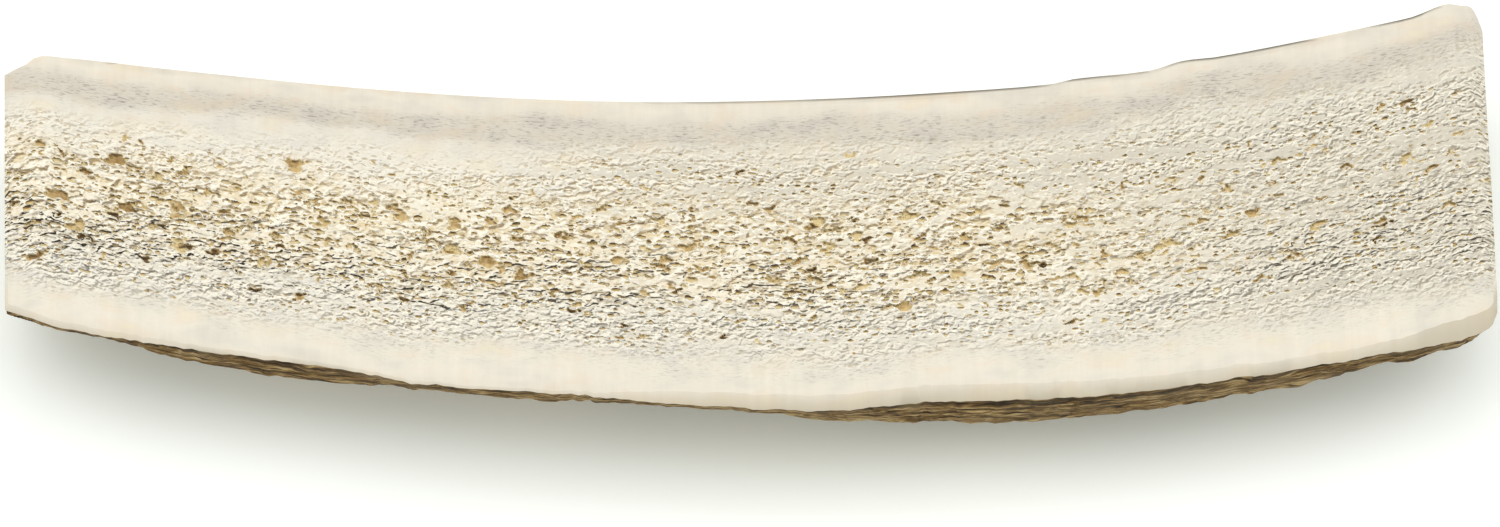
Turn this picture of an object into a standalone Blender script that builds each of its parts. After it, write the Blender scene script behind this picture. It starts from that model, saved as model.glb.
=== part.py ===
"""A split elk antler dog chew: one half of a sawn length of antler, lying on its bark.

Metres, +Z up. +X runs along the antler, +Y points to the far edge of the sawn face,
and the origin is at the bottom centre of the piece's box.
"""

import math
import random
from bisect import bisect

import bmesh
import bpy
from mathutils import Vector
from mathutils.geometry import delaunay_2d_cdt, tessellate_polygon

MM = 0.001

# Overall sizes of the half: its length down the middle, and its greatest depth
LENGTH = 178.4 * MM
DEPTH = 18 * MM

# The left end is sawn a little askew: how much further its far corner stands out than its
# near one, over a face this wide, and where along the beam that begins
LEFT_END_SKEW = 1.6 * MM
SKEW_WIDTH = 32 * MM
SKEW_BEGINS = -60 * MM

# Edges of the sawn face as (along, across) points in millimetres, seen from above.
# Both bow towards the near side, and each end has one corner ground off.
FAR_EDGE = (
    (-89.2, 17.3), (-87.9, 18.1), (-86.5, 18.9), (-85.7, 19.6), (-84.6, 19.9), (-82.6, 19.7),
    (-79, 19.3), (-69, 18), (-49.5, 15.8), (-30, 14.3), (-11, 13.7), (8.5, 14.1),
    (28, 15.3), (36.5, 16.1), (39.5, 16.8), (48.5, 17.9), (52.5, 19.2), (57, 19.8), (67, 21.9),
    (76, 24), (80.5, 25.1), (82.2, 25.8), (83.7, 26.5), (85, 26.9), (86.6, 26.7), (87.9, 26.5), (88.5, 25.6), (89.2, 23.6),
)
NEAR_EDGE = (
    (-89.2, -13.6), (-86, -14.7), (-82, -16), (-67.5, -18.6), (-48.5, -21.3), (-39, -23.2),
    (-20, -24.7), (-1, -26.1), (10, -26.5), (18, -25.5), (37, -24.8), (51, -23.4),
    (65, -21.2), (77, -18.9), (84, -17.4), (87.2, -16.3), (88.5, -15.3), (89.2, -13.6),
)

# The beam thins out towards both ends: how far its lowest line clears the surface
UNDERSIDE_RISE = (
    (-89.2, 5), (-70, 2.8), (-50, 1.1), (-30, 0.1), (-10, 0), (50, 0), (70, 0.8), (89.2, 2.6),
)

# How far the bark on the near side stands out below the face, as (along, millimetres), and
# how high on that side it stands out most: less than 1 is nearer to the face
NEAR_BULGE = (
    (-89.2, -0.7), (-82, -0.8), (-77.5, -0.9), (-68, 0.2), (-50, 0.7), (-40, -0.8), (-28, -0.6),
    (-15, -1.1), (4, -1.2), (13, -0.4), (20, 0.7), (54, 0.8), (62, 0.4), (67, 0.5), (77, -0.1),
    (85, -0.2), (89.2, -0.4),
)
BULGE_RISE = 0.6

# How deep the bark's edge is ground off around the right end
RIGHT_ROUNDING = ((85.8, 0), (87.6, 0.7), (89.2, 1.6))

# Ground bevels between the sawn face and the bark
NEAR_BEVEL = (
    (-89, 0.9), (-60, 0.6), (-20, 0.5), (-8, 1.5), (30, 1.9), (57, 1.5), (73, 1.3), (77, 1.5),
    (83, 2.3), (89, 2.3),
)
FAR_BEVEL = 0.5 * MM
LEFT_BEVEL = 0.5 * MM
RIGHT_BEVEL_FAR_HALF = 2.2 * MM
RIGHT_BEVEL_NEAR_HALF = 0.6 * MM
RIGHT_BEVEL_NARROWS = (0.35, 0.55)
BEVEL_SLOPE = 0.45

# Bark relief: long ridges, wide gutters that wind along the beam, and low lumps.
# It is plain next to the face and full where the bark has turned well under it.
RIDGE_HEIGHT = 0.45 * MM
RIDGES_PER_TURN = 16
RIDGE_WANDER = 1.6
RIDGE_WAVE = 31 * MM
GUTTER_HEIGHT = 0.5 * MM
GUTTERS_PER_TURN = 5
GUTTER_WAVE = 24 * MM
GUTTER_PHASE = 1.7
LUMP_HEIGHT = 0.35 * MM
LUMP_WAVES = (7.5 * MM, 12 * MM)
LUMPS_PER_TURN = (4, -3)
RELIEF_STARTS = math.radians(10)
RELIEF_FULL = math.radians(36)
UNDERSIDE_WEAR = 0.36 * MM

# Stations along the beam, points around the bark and points across each end
STATIONS = 52
BARK_POINTS = 40
END_POINTS = 10
END_CROWDING = 0.5

# The larger pores of the spongy core, placed one by one as
# (along in millimetres, share of the way from the far edge to the near one, length in millimetres)
LARGE_PORES = (
    (-83, 0.52, 3.1), (-79.5, 0.42, 1.6), (-77, 0.47, 1.5), (-74.5, 0.53, 1.9), (-76, 0.36, 3),
    (-71, 0.4, 2.4), (-68.5, 0.51, 3), (-63, 0.5, 1.5), (-62, 0.57, 1.6), (-56.5, 0.56, 1.8),
    (-54.5, 0.3, 3), (-50, 0.56, 1.8), (-68, 0.64, 2.9), (-58, 0.66, 2.4), (-80.5, 0.63, 2.4),
    (-51, 0.49, 2.2), (-48, 0.41, 1.6), (-46, 0.45, 1.5), (-41.5, 0.44, 2.2), (-39, 0.48, 1.6),
    (-35, 0.45, 1.9), (-35.5, 0.54, 2.4), (-38, 0.34, 1.5), (-31, 0.57, 3), (-31, 0.43, 1.6),
    (-28.5, 0.39, 1.6), (-27, 0.61, 2.2), (-22, 0.47, 2), (-17.5, 0.37, 1.6), (-15.5, 0.54, 1.8),
    (-36, 0.66, 1.6), (-44, 0.69, 1.5), (-34, 0.74, 1.5), (-23.5, 0.67, 1.6), (-10, 0.56, 1.6),
    (-7, 0.49, 2.2), (-6, 0.56, 2), (0, 0.34, 1.4), (2.5, 0.36, 1.4), (5, 0.46, 1.6),
    (6, 0.53, 2), (8.5, 0.4, 1.8), (9.5, 0.48, 2.2), (13, 0.46, 2), (8, 0.59, 1.7),
    (3, 0.59, 1.6), (19, 0.4, 1.8), (15, 0.54, 1.8), (20, 0.6, 1.8), (25, 0.6, 2.4),
    (18.5, 0.7, 2.2), (30, 0.46, 1.6), (29.5, 0.57, 2.2), (33.5, 0.58, 2), (36, 0.52, 1.5),
    (26, 0.48, 1.5), (40, 0.45, 1.5), (39, 0.63, 1.7), (47, 0.59, 1.5), (50.5, 0.56, 2.2),
    (42.5, 0.57, 1.4), (41.5, 0.69, 1.4), (45, 0.36, 1.3), (54.5, 0.38, 1.3), (57.5, 0.42, 1.3),
    (63.5, 0.36, 1.5), (57.5, 0.56, 1.6), (60.5, 0.51, 2.2), (54, 0.51, 1.6), (61, 0.71, 1.5),
    (65, 0.66, 1.6), (68, 0.58, 1.9), (76, 0.6, 1.8), (73, 0.63, 1.5), (72, 0.42, 1.4),
    (79, 0.43, 2.2), (76.5, 0.26, 1.4), (80, 0.28, 1.3), (82, 0.48, 1.6), (84, 0.6, 1.6),
)
SMALL_PORES = 205
SMALL_PORE_LENGTH = (0.9 * MM, 2 * MM)
SPONGY_REACH = 0.48
SPONGY_MIDDLE = 0.53
SPONGY_SPREAD = 0.15
SPONGY_LIMITS = (0.24, 0.84)
PORE_SLIMNESS = 0.6
PORE_DEPTH_SHARE = 0.5
PORE_RIM_POINTS = 6
PORE_FLOOR_POINTS = 3
PORE_FLOOR_SHARE = 0.5
PORE_SPACING = 1.16
GRAIN_STEP = 5 * MM

SEED = 11
NEGLIGIBLE = 0.01 * MM
SHARP_ANGLE = math.radians(40)
BONE_CREAM = (0.80, 0.71, 0.55, 1)
BONE_ROUGHNESS = 0.6


def smooth(points, along):
    """Value at a place along the beam, on a smooth curve through points in millimetres."""
    x = along / MM
    last = len(points) - 1
    i = min(max(bisect(points, (x,)) - 1, 0), last - 1)
    (x0, y0), (x1, y1) = points[i], points[i + 1]
    before, after = points[max(i - 1, 0)], points[min(i + 2, last)]
    span = x1 - x0
    slope0 = (y1 - before[1]) / (x1 - before[0]) * span
    slope1 = (after[1] - y0) / (after[0] - x0) * span
    t = min(max((x - x0) / span, 0), 1)
    return MM * (
        (2 * t**3 - 3 * t**2 + 1) * y0 + (t**3 - 2 * t**2 + t) * slope0
        + (3 * t**2 - 2 * t**3) * y1 + (t**3 - t**2) * slope1
    )


def blend(start, end, share):
    """Value a share of the way from start to end, and no further than either."""
    return start + (end - start) * min(max(share, 0), 1)


def end_bevel(along, across):
    """Width of the ground bevel at the end that this place is nearer to."""
    if along < 0:
        return LEFT_BEVEL
    start, end = RIGHT_BEVEL_NARROWS
    return blend(RIGHT_BEVEL_FAR_HALF, RIGHT_BEVEL_NEAR_HALF, (across - start) / (end - start))


def lip(along, across):
    """Point on the upper edge of the bark, or of a sawn end, just below the face."""
    y = blend(smooth(FAR_EDGE, along), smooth(NEAR_EDGE, along), across)
    bevel = blend(FAR_BEVEL, smooth(NEAR_BEVEL, along), across)
    if abs(along) > LENGTH / 2 - NEGLIGIBLE:
        bevel = max(bevel, end_bevel(along, across))
    return Vector((along, y, DEPTH - BEVEL_SLOPE * bevel))


def rim(along, across):
    """Point on the flat face's own outline, inside the bevels."""
    x = along * (1 - 2 * end_bevel(along, across) / LENGTH)
    far = smooth(FAR_EDGE, x) - FAR_BEVEL
    near = smooth(NEAR_EDGE, x) + smooth(NEAR_BEVEL, x)
    return Vector((x, blend(far, near, across), DEPTH))


def bark_relief(along, turn):
    """Height of the bark's ridges, gutters and lumps, which die out towards the face."""
    wander = RIDGE_WANDER * math.sin(along / RIDGE_WAVE)
    height = RIDGE_HEIGHT * math.sin(RIDGES_PER_TURN * turn + wander)
    height += GUTTER_HEIGHT * math.sin(GUTTERS_PER_TURN * turn - along / GUTTER_WAVE + GUTTER_PHASE)
    lump = LUMP_HEIGHT
    for wave, count in zip(LUMP_WAVES, LUMPS_PER_TURN):
        lump *= math.sin(along / wave + count * turn)
    below_face = min(turn, math.pi - turn)
    share = blend(0, 1, (below_face - RELIEF_STARTS) / (RELIEF_FULL - RELIEF_STARTS))
    ground_off = smooth(RIGHT_ROUNDING, along) * blend(0, 1, below_face / RELIEF_STARTS)
    return (height + lump) * share**2 * (3 - 2 * share) - ground_off


def bark(along, turn):
    """Point on the bark, turning from the far lip under the beam to the near lip."""
    far, near = smooth(FAR_EDGE, along), smooth(NEAR_EDGE, along)
    across = (1 - math.cos(turn)) / 2
    relief = bark_relief(along, turn)
    y = (far + near) / 2 + ((far - near) / 2 + relief) * math.cos(turn)
    z = lip(along, across).z * (1 - math.sin(turn))
    z += (smooth(UNDERSIDE_RISE, along) - UNDERSIDE_WEAR - relief) * math.sin(turn)
    if turn > math.pi / 2:
        below_lip = (math.pi - turn) / (math.pi / 2)
        y -= smooth(NEAR_BULGE, along) * math.sin(math.pi * below_lip**BULGE_RISE)
    return Vector((along, y, max(z, 0)))


def station(index):
    """Place of a station along the beam; they crowd towards both ends."""
    share = index / STATIONS
    return LENGTH * (share - END_CROWDING * math.sin(2 * math.pi * share) / (2 * math.pi) - 0.5)


def face_outline():
    """(along, across) of each point around the face, from the far left corner."""
    stations = [station(i) for i in range(STATIONS + 1)]
    steps = [k / END_POINTS for k in range(1, END_POINTS)]
    outline = [(x, 0) for x in stations]
    outline += [(LENGTH / 2, v) for v in steps]
    outline += [(x, 1) for x in reversed(stations)]
    outline += [(-LENGTH / 2, v) for v in reversed(steps)]
    return outline


def face_place(along, across):
    """Point of the flat face, for a share of the way from its far edge to its near one."""
    return Vector((along, blend(smooth(FAR_EDGE, along), smooth(NEAR_EDGE, along), across)))


def grain_angle(along):
    """Direction in which the pores run: along the beam's own curve."""
    before, after = face_place(along - GRAIN_STEP, 0.5), face_place(along + GRAIN_STEP, 0.5)
    return math.atan2(after.y - before.y, after.x - before.x)


def place_pores():
    """Centre, length and width of each pore: the large ones, then small ones between them."""
    rng = random.Random(SEED)
    pores = []

    def add(along, across, length):
        centre = face_place(along, across)
        half_length, half_width = length / 2, length * PORE_SLIMNESS / 2
        for other, other_length, other_width in pores:
            gap = centre - other
            reach = math.hypot(gap.x / (half_length + other_length), gap.y / (half_width + other_width))
            if reach < PORE_SPACING:
                return
        pores.append((centre, half_length, half_width))

    for along, across, length in LARGE_PORES:
        add(along * MM, across, length * MM)
    wanted = len(pores) + SMALL_PORES
    while len(pores) < wanted:
        along = rng.uniform(-SPONGY_REACH, SPONGY_REACH) * LENGTH
        across = rng.gauss(SPONGY_MIDDLE, SPONGY_SPREAD)
        if SPONGY_LIMITS[0] < across < SPONGY_LIMITS[1]:
            add(along, across, rng.uniform(*SMALL_PORE_LENGTH))
    return pores


def pore_ring(centre, half_length, half_width, count, share, height):
    """Ring of points around a pore's centre, lengthened along the grain.

    It starts half a rim edge round, so that each corner of a floor with half as many
    points lies under the middle of a rim edge.
    """
    angle = grain_angle(centre.x)
    start = math.pi / PORE_RIM_POINTS if count == PORE_FLOOR_POINTS else 0
    ring = []
    for k in range(count):
        turn = start + 2 * math.pi * k / count
        u, v = share * half_length * math.cos(turn), share * half_width * math.sin(turn)
        x = centre.x + u * math.cos(angle) - v * math.sin(angle)
        y = centre.y + u * math.sin(angle) + v * math.cos(angle)
        ring.append(Vector((x, y, height)))
    return ring


def add_bark_and_ends(bm):
    """Skin the bark between the two lips and close both sawn ends; gives the lip loop."""
    rows = []
    for i in range(STATIONS + 1):
        turns = (math.pi * j / BARK_POINTS for j in range(BARK_POINTS + 1))
        rows.append([bm.verts.new(bark(station(i), turn)) for turn in turns])
    for row, following in zip(rows, rows[1:]):
        for j in range(BARK_POINTS):
            bm.faces.new((row[j], row[j + 1], following[j + 1], following[j]))

    steps = [k / END_POINTS for k in range(1, END_POINTS)]
    right = [bm.verts.new(lip(LENGTH / 2, v)) for v in steps]
    left = [bm.verts.new(lip(-LENGTH / 2, v)) for v in reversed(steps)]
    close_end(bm, rows[-1] + right[::-1])
    close_end(bm, rows[0] + left)
    return [row[0] for row in rows] + right + [row[-1] for row in rows[::-1]] + left


def close_end(bm, outline):
    """Fill one sawn end with triangles between the points of its outline."""
    in_millimetres = [vert.co / MM for vert in outline]
    for triangle in tessellate_polygon([in_millimetres]):
        bm.faces.new([outline[k] for k in triangle])


def add_face(bm, lips):
    """Bevel in from the lips, fill the flat face around its pores, and sink each pore."""
    outline = [rim(along, across) for along, across in face_outline()]
    pores = place_pores()
    points = list(outline)
    loops = [range(len(outline))]
    for pore in pores:
        loops.append(range(len(points), len(points) + PORE_RIM_POINTS))
        points += pore_ring(*pore, PORE_RIM_POINTS, 1, DEPTH)
    edges = [(loop[k - 1], loop[k]) for loop in loops for k in range(len(loop))]
    flat = [point.xy for point in points]
    inside_constraints = 1
    triangles = delaunay_2d_cdt(flat, edges, [], inside_constraints, 1e-7)[2]

    verts = [bm.verts.new(point) for point in points]
    for triangle in triangles:
        owners = {(k - len(outline)) // PORE_RIM_POINTS if k >= len(outline) else -1 for k in triangle}
        if len(owners) > 1 or owners == {-1}:
            bm.faces.new([verts[k] for k in triangle])
    rims = verts[:len(outline)]
    for k in range(len(outline)):
        bm.faces.new((lips[k - 1], lips[k], rims[k], rims[k - 1]))
    for pore, loop in zip(pores, loops[1:]):
        sink_pore(bm, [verts[k] for k in loop], *pore)


def sink_pore(bm, ring, centre, half_length, half_width):
    """Walls and floor of one pore: two rim edges meet each corner of its floor."""
    height = DEPTH - 2 * half_length * PORE_DEPTH_SHARE
    corners = pore_ring(centre, half_length, half_width, PORE_FLOOR_POINTS, PORE_FLOOR_SHARE, height)
    floor = [bm.verts.new(corner) for corner in corners]
    for k in range(PORE_FLOOR_POINTS):
        first, second, third = (ring[(2 * k + step) % PORE_RIM_POINTS] for step in range(3))
        here, following = floor[k], floor[(k + 1) % PORE_FLOOR_POINTS]
        bm.faces.new((first, second, here))
        bm.faces.new((second, third, here))
        bm.faces.new((third, following, here))
    bm.faces.new(floor)


def skew_left_end(bm):
    """Slide each place along the beam, more and more towards the left, until the end is askew."""
    left = -LENGTH / 2
    middle = (smooth(FAR_EDGE, left) + smooth(NEAR_EDGE, left)) / 2
    for vert in bm.verts:
        share = blend(0, 1, (vert.co.x - SKEW_BEGINS) / (left - SKEW_BEGINS))
        vert.co.x -= share * LEFT_END_SKEW * (vert.co.y - middle) / SKEW_WIDTH


def centre_over_origin(bm):
    """Move the piece so that the origin is at the bottom centre of its box."""
    lows = [min(vert.co[axis] for vert in bm.verts) for axis in range(3)]
    highs = [max(vert.co[axis] for vert in bm.verts) for axis in range(3)]
    shift = Vector((-(lows[0] + highs[0]) / 2, -(lows[1] + highs[1]) / 2, -lows[2]))
    bmesh.ops.translate(bm, verts=bm.verts, vec=shift)


def bone_material():
    material = bpy.data.materials.new("antler_bone")
    material.use_nodes = True
    shader = material.node_tree.nodes["Principled BSDF"]
    shader.inputs["Base Color"].default_value = BONE_CREAM
    shader.inputs["Roughness"].default_value = BONE_ROUGHNESS
    shader.inputs["Metallic"].default_value = 0
    return material


def build_split_antler():
    bm = bmesh.new()
    lips = add_bark_and_ends(bm)
    add_face(bm, lips)
    bmesh.ops.triangulate(bm, faces=bm.faces)
    bmesh.ops.recalc_face_normals(bm, faces=bm.faces)
    skew_left_end(bm)
    centre_over_origin(bm)

    mesh = bpy.data.meshes.new("split_antler")
    bm.to_mesh(mesh)
    bm.free()
    mesh.materials.append(bone_material())
    mesh.shade_smooth()
    mesh.set_sharp_from_angle(angle=SHARP_ANGLE)
    bpy.context.collection.objects.link(bpy.data.objects.new("split_antler", mesh))


for leftover in list(bpy.data.objects):
    bpy.data.objects.remove(leftover)
build_split_antler()
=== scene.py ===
"""Looks of a split elk antler dog chew: sawn face, ground bevels, sawn ends and bark."""

import math
from types import SimpleNamespace

import bpy
import numpy as np
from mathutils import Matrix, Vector
from mathutils.geometry import delaunay_2d_cdt


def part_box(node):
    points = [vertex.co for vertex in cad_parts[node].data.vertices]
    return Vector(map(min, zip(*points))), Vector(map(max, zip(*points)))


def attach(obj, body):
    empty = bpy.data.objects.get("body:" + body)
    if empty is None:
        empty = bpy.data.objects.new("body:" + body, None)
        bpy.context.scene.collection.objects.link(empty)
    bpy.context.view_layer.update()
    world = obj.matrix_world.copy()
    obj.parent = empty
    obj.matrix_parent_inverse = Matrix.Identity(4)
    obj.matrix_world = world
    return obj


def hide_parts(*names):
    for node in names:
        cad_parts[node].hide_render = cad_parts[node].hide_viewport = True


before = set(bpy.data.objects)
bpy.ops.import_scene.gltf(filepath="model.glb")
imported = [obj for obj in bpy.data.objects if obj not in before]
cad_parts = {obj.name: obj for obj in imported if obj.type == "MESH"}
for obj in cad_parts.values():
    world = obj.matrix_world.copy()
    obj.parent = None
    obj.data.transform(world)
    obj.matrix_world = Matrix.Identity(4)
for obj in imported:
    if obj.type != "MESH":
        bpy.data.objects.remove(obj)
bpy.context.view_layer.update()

# Sizes and places are in millimetres, turns around the beam are in radians, and a share goes
# from 0 at the face's far edge to 1 at its near one
MM = 0.001
NODE = "split_antler"
BODY = "root"
low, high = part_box(NODE)

# The left end is sawn a little askew: how much further its far corner stands out than its
# near one, over a face this wide, and where along the beam that begins
LEFT_END_SKEW = 1.6
SKEW_WIDTH = 32
SKEW_BEGINS = -60

# Edges of the sawn face as (along, across) points, seen from above
FAR_EDGE = (
    (-89.2, 17.3), (-87.9, 18.1), (-86.5, 18.9), (-85.7, 19.6), (-84.6, 19.9), (-82.6, 19.7),
    (-79, 19.3), (-69, 18), (-49.5, 15.8), (-30, 14.3), (-11, 13.7), (8.5, 14.1),
    (28, 15.3), (36.5, 16.1), (39.5, 16.8), (48.5, 17.9), (52.5, 19.2), (57, 19.8), (67, 21.9),
    (76, 24), (80.5, 25.1), (82.2, 25.8), (83.7, 26.5), (85, 26.9), (86.6, 26.7), (87.9, 26.5),
    (88.5, 25.6), (89.2, 23.6),
)
NEAR_EDGE = (
    (-89.2, -13.6), (-86, -14.7), (-82, -16), (-67.5, -18.6), (-48.5, -21.3), (-39, -23.2),
    (-20, -24.7), (-1, -26.1), (10, -26.5), (18, -25.5), (37, -24.8), (51, -23.4),
    (65, -21.2), (77, -18.9), (84, -17.4), (87.2, -16.3), (88.5, -15.3), (89.2, -13.6),
)

# The beam thins out towards both ends: how far its lowest line clears the surface
UNDERSIDE_RISE = (
    (-89.2, 5), (-70, 2.8), (-50, 1.1), (-30, 0.1), (-10, 0), (50, 0), (70, 0.8), (89.2, 2.6),
)

# How far the bark on the near side stands out below the face, as (along, distance), and how
# high on that side it stands out most: less than 1 is nearer to the face
NEAR_BULGE = (
    (-89.2, -0.7), (-82, -0.8), (-77.5, -0.9), (-68, 0.2), (-50, 0.7), (-40, -0.8), (-28, -0.6),
    (-15, -1.1), (4, -1.2), (13, -0.4), (20, 0.7), (54, 0.8), (62, 0.4), (67, 0.5), (77, -0.1),
    (85, -0.2), (89.2, -0.4),
)
BULGE_RISE = 0.6

# How deep the bark's edge is ground off around the right end
RIGHT_ROUNDING = ((85.8, 0), (87.6, 0.7), (89.2, 1.6))

# Widths of the ground bevels between the sawn face and the bark, and how steeply they fall
NEAR_BEVEL = (
    (-89, 0.9), (-60, 0.6), (-20, 0.5), (-8, 1.5), (30, 1.9), (57, 1.5), (73, 1.3), (77, 1.5),
    (83, 2.3), (89, 2.3),
)
FAR_BEVEL = 0.5
LEFT_BEVEL = 0.5
RIGHT_BEVEL_FAR_HALF = 2.2
RIGHT_BEVEL_NEAR_HALF = 0.6
RIGHT_BEVEL_NARROWS = (0.35, 0.55)
BEVEL_SLOPE = 0.45

# Bark relief: long ridges, wide gutters and low lumps
RIDGE_HEIGHT = 0.45
RIDGES_PER_TURN = 16
RIDGE_WANDER = 1.6
RIDGE_WAVE = 31
GUTTER_HEIGHT = 0.5
GUTTERS_PER_TURN = 5
GUTTER_WAVE = 24
GUTTER_PHASE = 1.7
LUMP_HEIGHT = 0.35
LUMP_WAVES = (7.5, 12)
LUMPS_PER_TURN = (4, -3)
RELIEF_STARTS = math.radians(10)
RELIEF_FULL = math.radians(36)
UNDERSIDE_WEAR = 0.36

# Finer bark relief, each as (height, length along the beam, width around it)
FIBRES = (0.08, 14, 0.9)
THREADS = (0.045, 6, 0.5)
FLAKES = (0.05, 4.5, 1.5)
FINE_RELIEF_TURN = (0.02, 0.14)

# A crevice under the lips, and a dark edge of painted shade above it. Both come and go along the beam, as a
# field of random waves rises from one level to another
CREVICE_DEPTH = 0.4
CREVICE_TURN = (0.03, 0.1)
CREVICE_LENGTH = 14
CREVICE_COMES = (-1.2, 0.4)
DARK_EDGE_TURN = (0.02, 0.06)
DARK_EDGE_PATCHES = (7, 2)
DARK_EDGE_COMES = (-1.6, 0.2)
NEAR_LIP_TURN = 0.3

# Flakes that the bark is torn into on its near side: along, turn below the face, length and
# height
TORN_FLAKES = (
    (65.8, 0.36, 1.8, 0.5), (78.8, 0.34, 1.6, 0.35), (-37, 0.4, 3, 0.3), (12, 0.4, 4, 0.3),
)
FLAKE_TURN = 0.12

# How the near edge wavers, as (height, length)
EDGE_WAVES = ((0.06, 6), (0.035, 1.8))

# How much of the bark's torn edge shows as a thin line along the far side, from 0 to 1, and
# how strong the line is on the lip and on the next row of points
FAR_BARK = (
    (-10, 0), (-7, 0.6), (5, 0.6), (12, 0.9), (35, 0.9), (37.3, 0.2), (39.5, 1), (43, 0.8),
    (47.5, 0.3), (50, 0), (52.5, 0.8), (54, 1), (66, 1), (68.5, 0), (76, 0), (77, 0.9), (83, 0.9),
    (83.8, 0),
)
FAR_BARK_ROWS = (1, 0.7)

# Where the modelled core is coarse and where it is porous at all, as shares across, how it
# loses most of its coarse pores along the right end, and how its rims wander, as (share,
# length along, waves across)
CORE_BEGINS = (0.27, 0.4)
CORE_ENDS = (0.64, 0.74)
SPONGY_BEGINS = (0.19, 0.28)
SPONGY_ENDS = (0.79, 0.88)
CORE_THINS = (52, 76)
CORE_LOSS = 0.85
CORE_WANDER = (0.02, 30, 2)
SPONGY_WANDER = (0.012, 22, 3)

# The larger pores of the spongy core: along, share across, and length
LARGE_PORES = (
    (-83, 0.52, 3.1), (-79.5, 0.42, 1.6), (-77, 0.47, 1.5), (-74.5, 0.53, 1.9), (-76, 0.36, 3),
    (-71, 0.4, 2.4), (-68.5, 0.51, 3), (-63, 0.5, 1.5), (-62, 0.57, 1.6), (-56.5, 0.56, 1.8),
    (-54.5, 0.3, 3), (-50, 0.56, 1.8), (-68, 0.64, 2.9), (-58, 0.66, 2.4), (-80.5, 0.63, 2.4),
    (-51, 0.49, 2.2), (-48, 0.41, 1.6), (-46, 0.45, 1.5), (-41.5, 0.44, 2.2), (-39, 0.48, 1.6),
    (-35, 0.45, 1.9), (-35.5, 0.54, 2.4), (-38, 0.34, 1.5), (-31, 0.57, 3), (-31, 0.43, 1.6),
    (-28.5, 0.39, 1.6), (-27, 0.61, 2.2), (-22, 0.47, 2), (-17.5, 0.37, 1.6), (-15.5, 0.54, 1.8),
    (-36, 0.66, 1.6), (-44, 0.69, 1.5), (-34, 0.74, 1.5), (-23.5, 0.67, 1.6), (-10, 0.56, 1.6),
    (-7, 0.49, 2.2), (-6, 0.56, 2), (0, 0.34, 1.4), (2.5, 0.36, 1.4), (5, 0.46, 1.6),
    (6, 0.53, 2), (8.5, 0.4, 1.8), (9.5, 0.48, 2.2), (13, 0.46, 2), (8, 0.59, 1.7),
    (3, 0.59, 1.6), (19, 0.4, 1.8), (15, 0.54, 1.8), (20, 0.6, 1.8), (25, 0.6, 2.4),
    (18.5, 0.7, 2.2), (30, 0.46, 1.6), (29.5, 0.57, 2.2), (33.5, 0.58, 2), (36, 0.52, 1.5),
    (26, 0.48, 1.5), (40, 0.45, 1.5), (39, 0.63, 1.7), (47, 0.59, 1.5), (50.5, 0.56, 2.2),
    (42.5, 0.57, 1.4), (41.5, 0.69, 1.4), (45, 0.36, 1.3), (54.5, 0.38, 1.3), (57.5, 0.42, 1.3),
    (63.5, 0.36, 1.5), (57.5, 0.56, 1.6), (60.5, 0.51, 2.2), (54, 0.51, 1.6), (61, 0.71, 1.5),
    (65, 0.66, 1.6), (68, 0.58, 1.9), (76, 0.6, 1.8), (73, 0.63, 1.5), (72, 0.42, 1.4),
    (79, 0.43, 2.2), (76.5, 0.26, 1.4), (80, 0.28, 1.3), (82, 0.48, 1.6), (84, 0.6, 1.6),
)
LARGE_PORE_DEPTH = 0.42
LARGE_PORE_DARKNESS = (0.1, 0.5)

# Small deep pores, given in the same way, painted dark inside as shade where they go down into the dark
DARK_PORES = (
    (-47.5, 0.41, 1.2), (-68, 0.52, 1.4), (-67.5, 0.64, 1.8), (-64, 0.65, 1.8), (-82.5, 0.59, 1.4),
    (-88, 0.56, 1.2), (-72.5, 0.7, 1.5), (-35.5, 0.54, 1.3), (-28.5, 0.35, 1.2), (-22.5, 0.47, 1.2),
    (2.5, 0.35, 1.1), (8, 0.41, 1.3), (11, 0.47, 1.3), (14, 0.47, 1.2), (12.5, 0.4, 1.1),
    (7.5, 0.56, 1.4), (15, 0.54, 1.3), (-8.5, 0.64, 1.5), (35, 0.58, 1.2), (33, 0.555, 1.1),
    (79.5, 0.26, 1.3), (76, 0.62, 1.3), (-1, 0.24, 1.1), (-74, 0.53, 1.6), (-53.5, 0.765, 2),
    (28, 0.51, 1.4), (-85.4, 0.76, 2.4), (-21, 0.72, 1.8), (38.5, 0.775, 1.8), (-59, 0.76, 1.6),
    (75.5, 0.66, 1.4), (-76, 0.56, 1.8), (-79, 0.66, 1.8), (-86.5, 0.66, 1.6), (-70, 0.58, 1.6),
    (-61, 0.71, 1.4), (-56, 0.6, 1.2), (-41, 0.72, 1.2), (-15, 0.76, 1.3), (-3, 0.78, 1.2),
)
DARK_PORE_DEPTH = 0.5
DARK_PORE_DARKNESS = (0.55, 0.95)

# Pores that scatter through the core, in two sizes: distance apart, length, depth, how dark
# they are at most, and the share of places with one in the coarse core and outside it
SCATTERED_PORES = (
    (1.15, 0.75, 0.24, 0.6, 0.24, 0.08),
    (1.9, 1.15, 0.34, 0.5, 0.28, 0.0),
)

# They stand in rows between these shares of a face this wide, further apart along the rows,
# and are moved by parts of that distance. Their sizes vary, and most of them are pale
SCATTER_ACROSS = (0.14, 0.92)
USUAL_WIDTH = 38
SCATTER_STRETCH = 1.3
SCATTER_JITTER = (0.6, 0.5)
SCATTER_SIZES = (0.65, 1.3)
MOSTLY_PALE = 1.5

# A pore's shape: width to length, tilt, and rim and wall as parts of its half length. Its hole lies on the
# far side, a little to the left or right, and is darkened further as painted shade
PORE_SLIMNESS = (0.45, 0.8)
DARK_PORE_SLIMNESS = (0.3, 0.5)
PORE_TILT = 0.4
PORE_RIM = 0.95
PORE_WALL = 0.35
HOLE_RIM = 0.8
HOLE_ASIDE = 0.35
HOLE_FARTHER = 0.3
FLOOR_SHADE = 0.55
HOLE_SHADE = 0.45

# What makes pores ragged, as (shift along, shift across, size of the waves), and how wide
# the waves are for their length
PORE_WARPS = ((0.3, 0.16, 1.9), (0.08, 0.06, 0.8))
WARP_ASPECT = 0.7

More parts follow.
